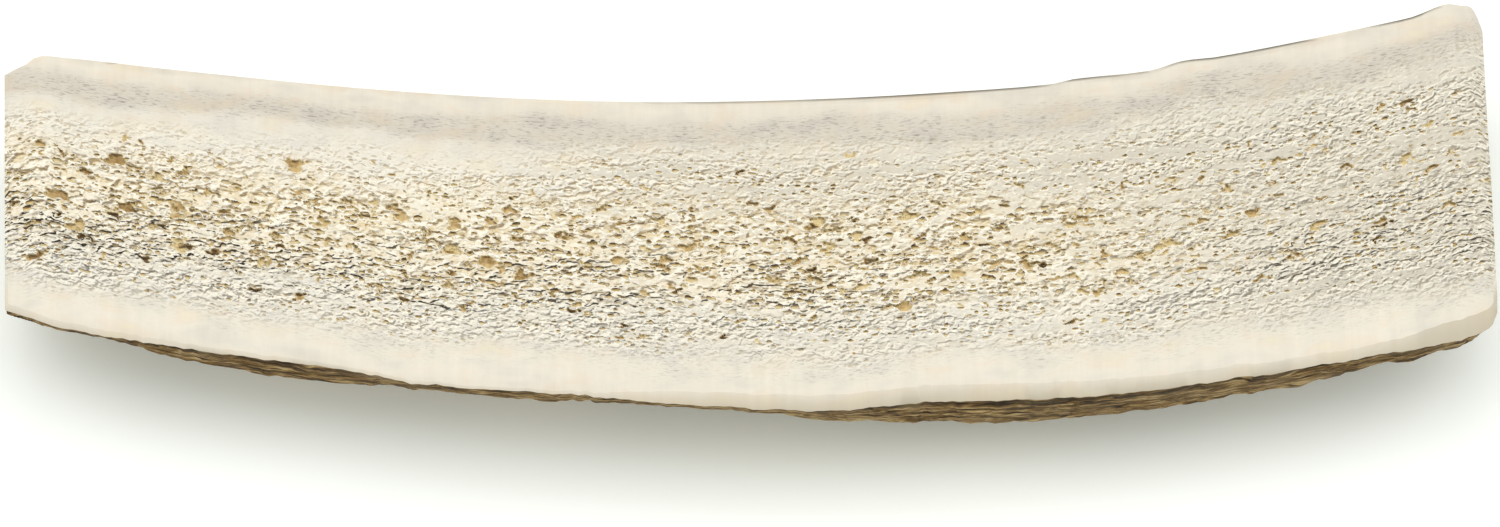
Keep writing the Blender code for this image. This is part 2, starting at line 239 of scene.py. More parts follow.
# Low crumbs between the pores: height, and length and width of their waves, and the shares
# across where they begin and end
CRUMBS = (0.03, 1.1, 0.6)
CRUMBS_BEGIN = (0.14, 0.22)
CRUMBS_END = (0.84, 0.9)

# Pores in the sawn ends: size, depth, how rare they are, and seed of their random waves. They
# begin at these layers, which go from 0 at the outline to 0.5 in the middle
END_PORES = ((1.6, 0.5, 0.9, 71), (0.9, 0.2, 0.8, 75))
END_SPONGY_BEGINS = (0.13, 0.2)

# Mesh of the sawn face, the bark and the ends, before it is thinned out. Rows are given as
# (place, how close together)
LEFT_BEVEL_STATIONS = 4
FACE_STATIONS = 860
RIGHT_BEVEL_STATIONS = 12
FACE_ROWS = (
    (0, 2.2), (0.012, 1.2), (0.19, 1.1), (0.25, 4), (0.84, 4), (0.89, 1.1), (0.985, 1.2), (1, 2.2),
)
FACE_ROW_COUNT = 290
BEVEL_STEPS = (1, 0.66, 0.33, 0.05)
BARK_ROWS = ((0, 3), (0.25, 1.3), (1.6, 1), (2.35, 2.2), (math.pi, 4))
BARK_ROW_COUNT = 110
END_STEP = 0.42
END_RADIUS = 11
RING_MIDDLE = 0.6
RING_TURN = 3
FEWEST_IN_RING = 5
FINE_STEPS = 4000
MOST_TRIANGLES = 196000
SHARP_ANGLE = math.radians(50)

# Patterns drawn in the materials, each as (length along the beam, width across it)
LAYER_WANDER = (16, 9)
BONE_PATCHES = (6, 3)
FLECKS = (0.9, 0.18)
SAW_MARKS = (1.3, 12)
CRUMB_ROWS = (15, 1.8)
TORN_WARP = (0.9, 0.6)
COARSE_CRUMBS = (1.6, 1.15)
FINE_CRUMBS = (1.0, 0.65)
SLIM_STROKES = (1.4, 0.6)
WIDE_PITS = (1.5, 0.85)
SMALL_PITS = (0.95, 0.55)
RAGGED_RIMS = (0.5, 0.35)
BARK_STRANDS = (4.5, 0.4)
BARK_PATCHES = (16, 6)

# How far apart torn outlines can lie, along the beam and across it
TORN_SPREAD = (0.5, 0.3, 0.3)

# The camera: its height angle, distance, the point it looks at, and the photo's width there,
# in radians and metres
CAMERA_ELEVATION = math.radians(66)
CAMERA_DISTANCE = 0.75
CAMERA_AIM = Vector((0.6, -7.96, 18)) * MM
PHOTO_WIDTH = 178.96 * MM

# Three wide soft lamps in a row: how far the way to each goes to the side, back and up. The
# even surround is a little green
LAMP_SIDES = (-0.9, 0, 0.9)
LAMP_BACK = 0.18
LAMP_HEIGHT = 0.98
LAMP_STRENGTH = 0.76
LAMP_SPREAD = math.radians(48)
SURROUND_COLOUR = (0.95, 1, 0.96, 1)
SURROUND_STRENGTH = 0.58

# The floor: half of its side in metres, and how much it glows
FLOOR_HALF = 4
FLOOR_GLOW = 0.13


def smooth(points, along):
    """Values along the beam on a smooth curve through (along, value) points."""
    xs, ys = np.array(points, float).T
    slopes = np.empty_like(ys)
    slopes[1:-1] = (ys[2:] - ys[:-2]) / (xs[2:] - xs[:-2])
    slopes[0] = (ys[1] - ys[0]) / (xs[1] - xs[0])
    slopes[-1] = (ys[-1] - ys[-2]) / (xs[-1] - xs[-2])
    i = np.clip(np.searchsorted(xs, along, "right") - 1, 0, len(xs) - 2)
    span = xs[i + 1] - xs[i]
    t = np.clip((along - xs[i]) / span, 0, 1)
    return (
        (2 * t**3 - 3 * t**2 + 1) * ys[i] + (t**3 - 2 * t**2 + t) * slopes[i] * span
        + (3 * t**2 - 2 * t**3) * ys[i + 1] + (t**3 - t**2) * slopes[i + 1] * span
    )


def ease(value, start, end):
    """0 before start, 1 after end, and a soft step between them."""
    t = np.clip((value - start) / (end - start), 0, 1)
    return t * t * (3 - 2 * t)


def graded(knots, count):
    """count + 1 places from first to last, closer together where the knots' density is higher."""
    places, density = np.array(knots, float).T
    fine = np.linspace(places[0], places[-1], FINE_STEPS)
    total = np.concatenate(([0], np.cumsum(np.interp(fine[1:], places, density))))
    return np.interp(np.linspace(0, total[-1], count + 1), total, fine)


def waves(u, v, seed, count=36):
    """Random smooth field of mean 0 and deviation 1, made of waves about one unit long."""
    rng = np.random.default_rng(seed)
    total = np.zeros(np.broadcast(u, v).shape)
    for turn, phase, pitch in rng.uniform((0, 0, 0.75), (math.tau, math.tau, 1.3), (count, 3)):
        crest = u * (pitch * math.cos(turn)) + v * (pitch * math.sin(turn))
        total += np.cos(math.tau * crest + phase)
    return total * math.sqrt(2 / count)


# The far edge as it grew, before its two corners were ground off: the growth layers follow it
GROWTH_EDGE = ((-89.2, 20.7), *(point for point in FAR_EDGE if -80 < point[0] < 77), (89.2, 27.2))
END_MIDDLE = (FAR_EDGE[0][1] + NEAR_EDGE[0][1]) / 2
OVERHANG = LEFT_END_SKEW * (FAR_EDGE[0][1] - END_MIDDLE) / SKEW_WIDTH
HALF = ((high.x - low.x) / MM - OVERHANG) / 2
TOP = high.z / MM


def centreline(along):
    """The middle of the face, across the beam."""
    return (smooth(FAR_EDGE, along) + smooth(NEAR_EDGE, along)) / 2


def near_edge(along):
    """The face's near edge, which wavers a little where the bark is torn."""
    edge = smooth(NEAR_EDGE, along)
    for k, (height, length) in enumerate(EDGE_WAVES):
        edge = edge + height * waves(along / length, 0.0 * along, 68 + k)
    return edge


def past_rim(along, across):
    """How far a place lies past the flat face's end, out on an end bevel."""
    start, end = RIGHT_BEVEL_NARROWS
    narrowing = np.clip((across - start) / (end - start), 0, 1)
    right = RIGHT_BEVEL_FAR_HALF + (RIGHT_BEVEL_NEAR_HALF - RIGHT_BEVEL_FAR_HALF) * narrowing
    return np.maximum(np.maximum(LEFT_BEVEL - HALF - along, along - HALF + right), 0)


def wandering(along, across, wander, seed):
    """A share across that wanders as the growth layers do."""
    height, length, bands = wander
    return across + height * waves(along / length, across * bands, seed)


def core_share(along, across):
    """1 in the coarse middle of the spongy core, and less towards its rim and the right end."""
    place = wandering(along, across, CORE_WANDER, 21)
    share = ease(place, *CORE_BEGINS) * (1 - ease(place, *CORE_ENDS))
    return share * (1 - CORE_LOSS * ease(along, *CORE_THINS))


def spongy_share(along, across):
    """1 wherever the core is porous at all, 0 in the solid outer bone."""
    place = wandering(along, across, SPONGY_WANDER, 22)
    return ease(place, *SPONGY_BEGINS) * (1 - ease(place, *SPONGY_ENDS))


def choose_pores():
    """Every pore as (along, share across, length, depth, darkness, slimness), scattered ones first."""
    rng = np.random.default_rng(81)
    jitter_along, jitter_across = SCATTER_JITTER
    pores = []
    for pitch, length, deep, darkest, in_core, outside in SCATTERED_PORES:
        row_gap = pitch / USUAL_WIDTH
        places = np.meshgrid(
            np.arange(-HALF, HALF, SCATTER_STRETCH * pitch), np.arange(*SCATTER_ACROSS, row_gap)
        )
        shape = places[0].shape
        along = (places[0] + pitch * rng.uniform(-jitter_along, jitter_along, shape)).ravel()
        across = (places[1] + row_gap * rng.uniform(-jitter_across, jitter_across, shape)).ravel()
        core, spongy = core_share(along, across), spongy_share(along, across)
        kept = rng.random(len(along)) < in_core * core + outside * spongy * (1 - core)
        size = rng.uniform(*SCATTER_SIZES, len(along))
        dark = darkest * rng.random(len(along)) ** MOSTLY_PALE
        slim = rng.uniform(*PORE_SLIMNESS, len(along))
        columns = (along, across, length * size, deep * size, dark, slim)
        pores += list(zip(*(column[kept] for column in columns)))
    for chosen, deep, darkness, slimness in (
        (LARGE_PORES, LARGE_PORE_DEPTH, LARGE_PORE_DARKNESS, PORE_SLIMNESS),
        (DARK_PORES, DARK_PORE_DEPTH, DARK_PORE_DARKNESS, DARK_PORE_SLIMNESS),
    ):
        pores += [(*pore, deep, rng.uniform(*darkness), rng.uniform(*slimness)) for pore in chosen]
    return pores


def sink_pores(along, across, offset):
    """Depth of the pores at each place of the face, and how dark they are inside, with painted shade in a
    hole under the far rim.
    """
    x, y = along, offset
    for k, (shift_along, shift_across, size) in enumerate(PORE_WARPS):
        places = along / size, offset / (WARP_ASPECT * size)
        x = x + shift_along * waves(*places, 31 + 2 * k)
        y = y + shift_across * waves(*places, 32 + 2 * k)
    depth, dark = np.zeros_like(along), np.zeros_like(along)
    stations, rows = along[:, 0], across[0]
    rng = np.random.default_rng(82)
    for place, share, length, deep, darkness, slimness in choose_pores():
        width = smooth(FAR_EDGE, place) - smooth(NEAR_EDGE, place)
        first, last = np.searchsorted(stations, (place - length, place + length))
        top, bottom = np.searchsorted(rows, (share - length / width, share + length / width))
        block = (slice(first, last), slice(top, bottom))
        tilt, aside = rng.uniform((-PORE_TILT, -HOLE_ASIDE), (PORE_TILT, HOLE_ASIDE))
        u, v = x[block] - place, y[block] - (0.5 - share) * width
        u, v = u * math.cos(tilt) + v * math.sin(tilt), v * math.cos(tilt) - u * math.sin(tilt)
        u, v = u / (length / 2), v / (length * slimness / 2)
        inside = ease(PORE_RIM - np.hypot(u, v), 0, PORE_WALL)
        hole = ease(HOLE_RIM - np.hypot(u - aside, v - HOLE_FARTHER), 0, PORE_WALL)
        deeper = deep * inside > depth[block]
        depth[block] = np.where(deeper, deep * inside, depth[block])
        # darkness of the floor, and painted shade in the hole under the far rim
        shade = darkness * (FLOOR_SHADE * inside + HOLE_SHADE * hole)
        dark[block] = np.where(deeper, shade, dark[block])
    return depth, dark


def face_grid(stations):
    """The sawn face and its bevels, from the far lip to the near one."""
    rows, steps = graded(FACE_ROWS, FACE_ROW_COUNT), np.array(BEVEL_STEPS)
    zeros, none = np.zeros(len(rows)), np.zeros(len(steps))
    share = np.concatenate((none, rows, none + 1))
    far_out = np.concatenate((steps, zeros, none))
    near_out = np.concatenate((none, zeros, steps[::-1]))
    along, share = np.broadcast_arrays(stations[:, None], share[None, :])
    far, near, near_bevel = smooth(FAR_EDGE, along), near_edge(along), smooth(NEAR_BEVEL, along)
    y = far - FAR_BEVEL + share * (near + near_bevel - far + FAR_BEVEL)
    y = y + FAR_BEVEL * far_out - near_bevel * near_out
    out = np.maximum(np.maximum(FAR_BEVEL * far_out, near_bevel * near_out), past_rim(along, share))
    across, offset = (far - y) / (far - near), y - centreline(along)
    grown_far = smooth(GROWTH_EDGE, along)
    layer = (grown_far - y) / (grown_far - near)
    depth, dark = sink_pores(along, across, offset)
    bark_line = np.clip(smooth(FAR_BARK, stations), 0, 1)
    dark[:, :len(FAR_BARK_ROWS)] = bark_line[:, None] * FAR_BARK_ROWS
    # fall: how steeply a pore's wall drops towards the near side, from which the bone material paints shade
    # under far rims and highlights on near rims
    fall = np.gradient(depth, axis=1) / np.gradient(-y, axis=1)
    height, length, width = CRUMBS
    crumbs = height * np.abs(waves(along / length, offset / width, 51)) * ease(across, *CRUMBS_BEGIN)
    z = TOP - BEVEL_SLOPE * out - depth - crumbs * (1 - ease(across, *CRUMBS_END))
    return {"x": along, "y": y, "z": z, "layer": layer, "pore": depth, "dark": dark, "fall": fall}


def bark_relief(along, turn):
    """Height of the bark's ridges, gutters and lumps, which die out towards the face."""
    wander = RIDGE_WANDER * np.sin(along / RIDGE_WAVE)
    height = RIDGE_HEIGHT * np.sin(RIDGES_PER_TURN * turn + wander)
    height = height + GUTTER_HEIGHT * np.sin(GUTTERS_PER_TURN * turn - along / GUTTER_WAVE + GUTTER_PHASE)
    lump = LUMP_HEIGHT
    for wave, count in zip(LUMP_WAVES, LUMPS_PER_TURN):
        lump = lump * np.sin(along / wave + count * turn)
    below_face = np.minimum(turn, math.pi - turn)
    ground_off = smooth(RIGHT_ROUNDING, along) * np.clip(below_face / RELIEF_STARTS, 0, 1)
    return (height + lump) * ease(below_face, RELIEF_STARTS, RELIEF_FULL) - ground_off


def bark_grid(stations):
    """The bark, from the near lip under the beam to the far lip, without the lips themselves."""
    turns = graded(BARK_ROWS, BARK_ROW_COUNT)[-2:0:-1]
    along, turn = np.broadcast_arrays(stations[:, None], turns[None, :])
    far, near = smooth(FAR_EDGE, along), near_edge(along)
    across = (1 - np.cos(turn)) / 2
    half_width = (far - near) / 2
    around = turn * (half_width + TOP) / 2
    below_face = np.minimum(turn, math.pi - turn)

    relief = bark_relief(along, turn)
    for k, (height, length, width) in enumerate((FIBRES, THREADS, FLAKES)):
        fine = height * waves(along / length, around / width, 61 + k)
        relief = relief + fine * ease(below_face, *FINE_RELIEF_TURN)
    start, end = CREVICE_TURN
    crevice = ease(below_face, 0, start) * (1 - ease(below_face, start, end))
    comes = ease(waves(along / CREVICE_LENGTH, 0.0 * along, 65), *CREVICE_COMES)
    relief = relief - CREVICE_DEPTH * crevice * comes
    for place, low_down, size, height in TORN_FLAKES:
        off_flake = ((along - place) / size) ** 2 + ((math.pi - turn - low_down) / FLAKE_TURN) ** 2
        relief = relief + height * np.exp(-off_flake)
    # a dark edge of painted shade just under the lips, in patches
    length, width = DARK_EDGE_PATCHES
    dark = 1 - ease(below_face, *DARK_EDGE_TURN)
    dark = dark * ease(waves(along / length, around / width, 66), *DARK_EDGE_COMES)

    bevel = FAR_BEVEL + (smooth(NEAR_BEVEL, along) - FAR_BEVEL) * across
    lip = TOP - BEVEL_SLOPE * np.maximum(bevel, past_rim(along, across))
    lowest = smooth(UNDERSIDE_RISE, along) - UNDERSIDE_WEAR
    y = (far + near) / 2 + (half_width + relief) * np.cos(turn)
    z = lip * (1 - np.sin(turn)) + (lowest - relief) * np.sin(turn)
    below_lip = np.clip((math.pi - turn) / (math.pi / 2), 0, 1)
    y = y - smooth(NEAR_BULGE, along) * np.sin(math.pi * below_lip**BULGE_RISE)
    # thinning may join a point just below the near lip to the face, so such points are painted
    # with the face's outermost layer
    layer = (math.pi - turn < NEAR_LIP_TURN).astype(float)
    return {"x": along, "y": y, "z": np.maximum(z, 0), "layer": layer, "relief": relief, "dark": dark}


def end_points(loop_y, loop_z, side):
    """Points inside a sawn end's outline, in rings drawn in towards its middle."""
    middle = np.array(((loop_y.min() + loop_y.max()) / 2, TOP * RING_MIDDLE))
    closed = np.stack((np.append(loop_y, loop_y[0]), np.append(loop_z, loop_z[0])), 1)
    length = np.concatenate(([0], np.cumsum(np.linalg.norm(np.diff(closed, axis=0), axis=1))))
    rings, shares = [], []
    ring_gap = END_STEP / END_RADIUS
    for share in np.arange(1 - ring_gap, ring_gap, -ring_gap):
        count = max(int(length[-1] * share / END_STEP), FEWEST_IN_RING)
        at = np.linspace(0, length[-1], count, endpoint=False) + share * length[-1] * RING_TURN
        ring = np.stack([np.interp(at % length[-1], length, closed[:, axis]) for axis in (0, 1)], 1)
        rings.append(middle + share * (ring - middle))
        shares.append(np.full(count, share))
    y, z = np.vstack(rings).T
    layer = 0.5 * (1 - np.concatenate(shares))
    solid = 1 - ease(layer, *END_SPONGY_BEGINS)
    depth = np.zeros_like(y)
    for size, deep, rarity, seed in END_PORES:
        hollow = ease(waves(y / size, z / size, seed + side) - rarity - 2 * solid, 0, 0.5)
        depth = np.maximum(depth, deep * hollow)
    return {"x": side * (HALF - depth), "y": y, "z": z, "layer": layer, "pore": depth}


BONE_FINISH, BARK_FINISH = range(2)
PAINTED = ("layer", "pore", "dark", "fall", "relief")


def build_triangles():
    """Points with their painted values, triangles, and the finish of each triangle."""
    ends = (-HALF, LEFT_BEVEL - HALF, HALF - RIGHT_BEVEL_FAR_HALF, HALF)
    counts = (LEFT_BEVEL_STATIONS, FACE_STATIONS, RIGHT_BEVEL_STATIONS)
    stations = np.unique(np.concatenate([np.linspace(*span) for span in zip(ends, ends[1:], counts)]))
    face, bark = face_grid(stations), bark_grid(stations)
    columns = {}
    for name in ("x", "y", "z") + PAINTED:
        pair = [np.broadcast_to(part.get(name, 0.0), part["x"].shape) for part in (face, bark)]
        columns[name] = np.concatenate(pair, 1)
    numbers = np.arange(columns["x"].size).reshape(columns["x"].shape)
    ring = np.concatenate((numbers, numbers[:, :1]), 1)
    a, b, c, d = ring[:-1, :-1], ring[1:, :-1], ring[1:, 1:], ring[:-1, 1:]
    triangles = [np.stack((a, d, c), -1).reshape(-1, 3), np.stack((a, c, b), -1).reshape(-1, 3)]
    finish = np.full(a.shape, BARK_FINISH)
    finish[:, :face["x"].shape[1] - 1] = BONE_FINISH
    finishes = [finish.ravel()] * 2

    columns = {name: [values.ravel()] for name, values in columns.items()}
    count = numbers.size
    for side, loop in ((-1, numbers[0]), (1, numbers[-1])):
        loop_y, loop_z = columns["y"][0][loop], columns["z"][0][loop]
        inner = end_points(loop_y, loop_z, side)
        size = len(inner["y"])
        for name in columns:
            columns[name].append(np.broadcast_to(inner.get(name, 0.0), size))
        flat = [Vector(p) for p in zip(np.append(loop_y, inner["y"]), np.append(loop_z, inner["z"]))]
        outline = [(k, (k + 1) % len(loop)) for k in range(len(loop))]
        inside_outline, nearest = 1, 1e-6
        made = np.array(delaunay_2d_cdt(flat, outline, [], inside_outline, nearest)[2])
        made = np.append(loop, np.arange(count, count + size))[made][:, ::side]
        triangles.append(made)
        finishes.append(np.full(len(made), BONE_FINISH))
        count += size
    columns = {name: np.concatenate(values) for name, values in columns.items()}
    return columns, np.concatenate(triangles), np.concatenate(finishes)


def build_mesh():
    """The whole half as one closed mesh, thinned out where it is plain."""
    columns, triangles, finish = build_triangles()
    x, y, z = (columns[axis] for axis in "xyz")
    grain = np.stack((x, y - centreline(x), z), 1)
    towards_left = np.clip((x - SKEW_BEGINS) / (-HALF - SKEW_BEGINS), 0, 1)
    skew = towards_left * LEFT_END_SKEW * (y - END_MIDDLE) / SKEW_WIDTH
    points = np.stack((x - skew, y, z), 1)
    farthest = smooth(FAR_EDGE, np.linspace(-HALF, HALF, FINE_STEPS)).max()
    points[:, :2] += (high.x / MM - HALF, high.y / MM - farthest)

    mesh = bpy.data.meshes.new("split_antler_full")
    mesh.from_pydata((points * MM).tolist(), [], triangles.tolist())
    mesh.polygons.foreach_set("material_index", finish.astype(np.int32))
    mesh.attributes.new("grain", "FLOAT_VECTOR", "POINT").data.foreach_set("vector", grain.ravel())
    for name in PAINTED:
        values = columns[name].astype(np.float32)
        mesh.attributes.new(name, "FLOAT", "POINT").data.foreach_set("value", values)

    full = bpy.data.objects.new("split_antler_full", mesh)
    bpy.context.collection.objects.link(full)
    thinner = full.modifiers.new("thinner", "DECIMATE")
    thinner.ratio = MOST_TRIANGLES / len(triangles)
    depsgraph = bpy.context.evaluated_depsgraph_get()
    thinned = bpy.data.meshes.new_from_object(
        full.evaluated_get(depsgraph), preserve_all_data_layers=True, depsgraph=depsgraph
    )
    bpy.data.objects.remove(full)
    thinned.shade_smooth()
    thinned.set_sharp_from_angle(angle=SHARP_ANGLE)
    return thinned


def linear(colour):
    """sRGB hex colour as linear red, green, blue and alpha."""
    parts = [int(colour[k:k + 2], 16) / 255 for k in (1, 3, 5)]
    return [c / 12.92 if c <= 0.04045 else ((c + 0.055) / 1.055) ** 2.4 for c in parts] + [1]


def per_mm(length, width):
    """Scale of a pattern with this length along the beam and this width across it."""
    return 1 / length, 1 / width, 1 / width


def main_output(node):
    """The first of a node's outputs that its settings leave in use."""
    return next(socket for socket in node.outputs if socket.enabled)


def add(tree, kind, links=None, stops=None, **settings):
    """Adds a node; links gives each input a number, a colour, a node or a socket.

    MapRange turns the span 1 to 2 into 3 to 4. Mix goes from colour 6 to 7 as 0 rises.
    """
    made = tree.nodes.new("ShaderNode" + kind)
    for name, value in settings.items():
        setattr(made, name, value)
    for name, value in (links or {}).items():
        value = main_output(value) if isinstance(value, bpy.types.Node) else value
        if isinstance(value, bpy.types.NodeSocket):
            tree.links.new(value, made.inputs[name])
        else:
            made.inputs[name].default_value = value
    for k, (place, colour) in enumerate(stops or ()):
        element = made.color_ramp.elements[k] if k < 2 else made.color_ramp.elements.new(place)
        element.position = place
        element.color = linear(colour) if isinstance(colour, str) else (colour, colour, colour, 1)
    return made


def start_material(name):
    """A new material, its nodes, its shader, and places on the straightened beam."""
    material = bpy.data.materials.new(name)
    material.use_nodes = True
    tree = material.node_tree
    shader = tree.nodes["Principled BSDF"]
    grain = add(tree, "Attribute", attribute_name="grain").outputs["Vector"]
    return material, tree, shader, grain


def add_zones(bone, layer):
    """The growth layers, and the zones where the bone is porous, coarse or fine."""
    tree = bone.tree
    # growth layers from the far edge to the near one, wandering a little
    wander_place = add(tree, "VectorMath", {0: bone.grain, 1: per_mm(*LAYER_WANDER)}, operation="MULTIPLY")
    wander = add(tree, "TexNoise", {"Vector": wander_place, "Scale": 1, "Detail": 4})
    shifted = add(tree, "MapRange", {"Value": wander, 1: 0.3, 2: 0.7, 3: -0.03, 4: 0.03})
    bone.place = add(tree, "Math", {0: layer, 1: shifted}, operation="ADD")
    along = add(tree, "SeparateXYZ", {0: bone.grain}).outputs["X"]
    bone.along = add(tree, "MapRange", {"Value": along, 1: -HALF, 2: HALF, 3: 0, 4: 1})

    # the porous part reaches nearer to the far edge from a third of the way along
    far_reach = add(tree, "MapRange", {"Value": bone.along, 1: 0.3, 2: 0.4, 3: 0, 4: 0.08})
    far_place = add(tree, "Math", {0: bone.place, 1: far_reach}, operation="ADD")
    far_fade = add(tree, "MapRange", {"Value": far_place, 1: 0.18, 2: 0.34, 3: 0, 4: 1})
    near_fade = add(tree, "MapRange", {"Value": bone.place, 1: 0.79, 2: 0.88, 3: 1, 4: 0})
    bone.spongy = add(tree, "Math", {0: far_fade, 1: near_fade}, operation="MULTIPLY")

    # its middle is coarse, but less so towards the right end
    coarse_layers = add(tree, "ValToRGB", {"Fac": bone.place}, stops=(
        (0.3, 0.0), (0.4, 1.0), (0.66, 1.0), (0.74, 0.0),
    ))
    coarse_along = add(tree, "MapRange", {"Value": bone.along, 1: 0.66, 2: 0.86, 3: 1, 4: 0.3})
    bone.core = add(tree, "Math", {0: coarse_layers, 1: coarse_along}, operation="MULTIPLY")
    fine_share = add(tree, "MapRange", {"Value": bone.core, 1: 0, 2: 1, 3: 1, 4: 0.4})
    bone.fine = add(tree, "Math", {0: bone.spongy, 1: fine_share}, operation="MULTIPLY")


def add_sawn_surface(bone):
    """Colour of the bone between its pores, with patches, flecks and saw marks."""
    tree = bone.tree
    layers = add(tree, "ValToRGB", {"Fac": bone.place}, stops=(
        (0, "#dbcfbf"), (0.02, "#e4dacb"), (0.055, "#ddd2c3"), (0.085, "#cbc1b4"), (0.135, "#c7bdb0"),
        (0.165, "#ded5c8"), (0.22, "#e4dccf"), (0.28, "#e9e1d4"), (0.38, "#f3e8d3"), (0.5, "#f7ead1"),
        (0.64, "#f5e9d4"), (0.72, "#ece5d8"), (0.79, "#e4dccf"), (0.84, "#ded6ca"), (0.89, "#e3daca"),
        (0.955, "#e6dccd"), (1, "#e0d5c4"),
    ))

    # faint grey, pink and yellow patches
    patch_place = add(tree, "VectorMath", {0: bone.grain, 1: per_mm(*BONE_PATCHES)}, operation="MULTIPLY")
    patches = add(tree, "TexNoise", {"Vector": patch_place, "Scale": 1, "Detail": 4})
    patch_colour = add(tree, "ValToRGB", {"Fac": patches}, stops=(
        (0.34, "#c3beb6"), (0.44, "#dad2c6"), (0.52, "#e6dccb"), (0.6, "#e3cdb4"), (0.68, "#ead8ae"),
    ))
    patched = add(tree, "Mix", {0: 0.28, 6: layers, 7: patch_colour}, data_type="RGBA")

    # the fine rim on the far side is duller from a third of the way along, and so is the whole
    # porous part at the right end
    duller = add(tree, "ValToRGB", {"Fac": bone.along}, stops=(
        (0.3, 0.0), (0.42, 0.75), (0.78, 0.85), (0.95, 0.9),
    ))
    far_half = add(tree, "MapRange", {"Value": bone.place, 1: 0.45, 2: 0.6, 3: 1, 4: 0.1})
    far_fine = add(tree, "Math", {0: bone.fine, 1: far_half}, operation="MULTIPLY")
    dull_zone = add(tree, "MapRange", {"Value": bone.along, 1: 0.72, 2: 0.9, 3: far_fine, 4: bone.spongy})
    dull_share = add(tree, "Math", {0: duller, 1: dull_zone}, operation="MULTIPLY")
    dulled = add(tree, "Mix", {0: dull_share, 6: patched, 7: linear("#cfc6b7")}, data_type="RGBA")

    # dark flecks that lie along some of the growth layers, in drifts
    banded = add(tree, "ValToRGB", {"Fac": bone.place}, stops=(
        (0.05, 0.0), (0.09, 1.0), (0.14, 1.0), (0.18, 0.15), (0.3, 0.3), (0.7, 0.3), (0.8, 1.0), (0.88, 0.5),
        (0.93, 0.0),
    ))
    fleck_place = add(tree, "VectorMath", {0: bone.grain, 1: per_mm(*FLECKS)}, operation="MULTIPLY")
    fleck_noise = add(tree, "TexNoise", {"Vector": fleck_place, "Scale": 1, "Detail": 3, "Distortion": 0.3})
    drifts = add(tree, "MapRange", {"Value": patches, 1: 0.4, 2: 0.62, 3: 0.75, 4: 0.2})
    fleck = add(tree, "MapRange", {"Value": fleck_noise, 1: 0.52, 2: 0.7, 3: 0, 4: drifts})
    flecks = add(tree, "Math", {0: fleck, 1: banded}, operation="MULTIPLY")
    flecked = add(tree, "Mix", {0: flecks, 6: dulled, 7: linear("#6d6253")}, data_type="RGBA")

    # soft saw marks square to the beam
    saw_place = add(tree, "VectorMath", {0: bone.grain, 1: per_mm(*SAW_MARKS)}, operation="MULTIPLY")
    bone.saw = add(tree, "TexNoise", {"Vector": saw_place, "Scale": 1, "Detail": 4, "Roughness": 0.7})
    saw_tone = add(tree, "MapRange", {"Value": bone.saw, 1: 0.3, 2: 0.7, 3: 0.955, 4: 1.03})
    return add(tree, "VectorMath", {0: flecked, "Scale": saw_tone}, operation="SCALE")


def add_crumb_rules(bone):
    """How steep and torn the crumbs are, the colours of their painted shade and of their tan, shaded
    hollows, and where slim strokes of painted shade lie.
    """
    tree = bone.tree
    # steepest, so with the strongest painted shade and highlights, at the left end, a little steeper on the
    # core's near side, and varied in rows
    bone.vigour = add(tree, "ValToRGB", {"Fac": bone.along}, stops=(
        (0, 1.0), (0.1, 1.0), (0.2, 0.6), (0.56, 0.55), (0.7, 0.2), (0.85, 0.5), (1, 0.55),
    ))
    bone.steep_along = add(tree, "MapRange", {"Value": bone.vigour, 1: 0, 2: 1, 3: 0.75, 4: 1.55})
    steep_across = add(tree, "MapRange", {"Value": bone.place, 1: 0.6, 2: 0.74, 3: 1, 4: 1.05})
    row_place = add(tree, "VectorMath", {0: bone.grain, 1: per_mm(*CRUMB_ROWS)}, operation="MULTIPLY")
    row_noise = add(tree, "TexNoise", {"Vector": row_place, "Scale": 1, "Detail": 2})
    bone.rows = add(tree, "MapRange", {"Value": row_noise, 1: 0.37, 2: 0.63, 3: 0.45, 4: 1.55})
    steep_there = add(tree, "Math", {0: bone.steep_along, 1: steep_across}, operation="MULTIPLY")
    bone.steepness = add(tree, "Math", {0: steep_there, 1: bone.rows}, operation="MULTIPLY")

    # the painted shade on the sides, and the hollows' tan and painted shade, are greyer on the core's near
    # side and at the right end
    near_side = add(tree, "MapRange", {"Value": bone.place, 1: 0.6, 2: 0.72, 3: 0, 4: 1})
    greyer = add(tree, "MapRange", {"Value": bone.along, 1: 0.62, 2: 0.85, 3: near_side, 4: 1})
    bone.line_colour, bone.recess_colour = (
        add(tree, "Mix", {0: greyer, 6: linear(warm), 7: linear(grey)}, data_type="RGBA")
        for warm, grey in (("#73562b", "#4b3f2f"), ("#dcc598", "#cdbfa6"))
    )

    # all outlines are torn
    warp_place = add(tree, "VectorMath", {0: bone.grain, 1: per_mm(*TORN_WARP)}, operation="MULTIPLY")
    warp_noise = add(tree, "TexNoise", {"Vector": warp_place, "Scale": 1, "Detail": 2}).outputs["Color"]
    warp = add(tree, "VectorMath", {0: warp_noise, 1: (0.5, 0.5, 0.5)}, operation="SUBTRACT")
    bone.torn = add(tree, "VectorMath", {0: warp, 1: TORN_SPREAD, 2: bone.grain}, operation="MULTIPLY_ADD")
    ragged_place = add(tree, "VectorMath", {0: bone.grain, 1: per_mm(*RAGGED_RIMS)}, operation="MULTIPLY")
    bone.ragged = add(tree, "TexNoise", {"Vector": ragged_place, "Scale": 1, "Detail": 2})

    # slim strokes of painted shade lie along the core's near side, most of all at the left end
    stroke_layers = add(tree, "ValToRGB", {"Fac": bone.place}, stops=(
        (0.46, 0.0), (0.54, 0.9), (0.62, 1.0), (0.72, 1.0), (0.79, 0.0),
    ))
    stroke_share = add(tree, "MapRange", {"Value": bone.vigour, 1: 0.2, 2: 0.6, 3: 0.3, 4: 1})
    bone.strokes = add(tree, "Math", {0: stroke_layers, 1: stroke_share}, operation="MULTIPLY")


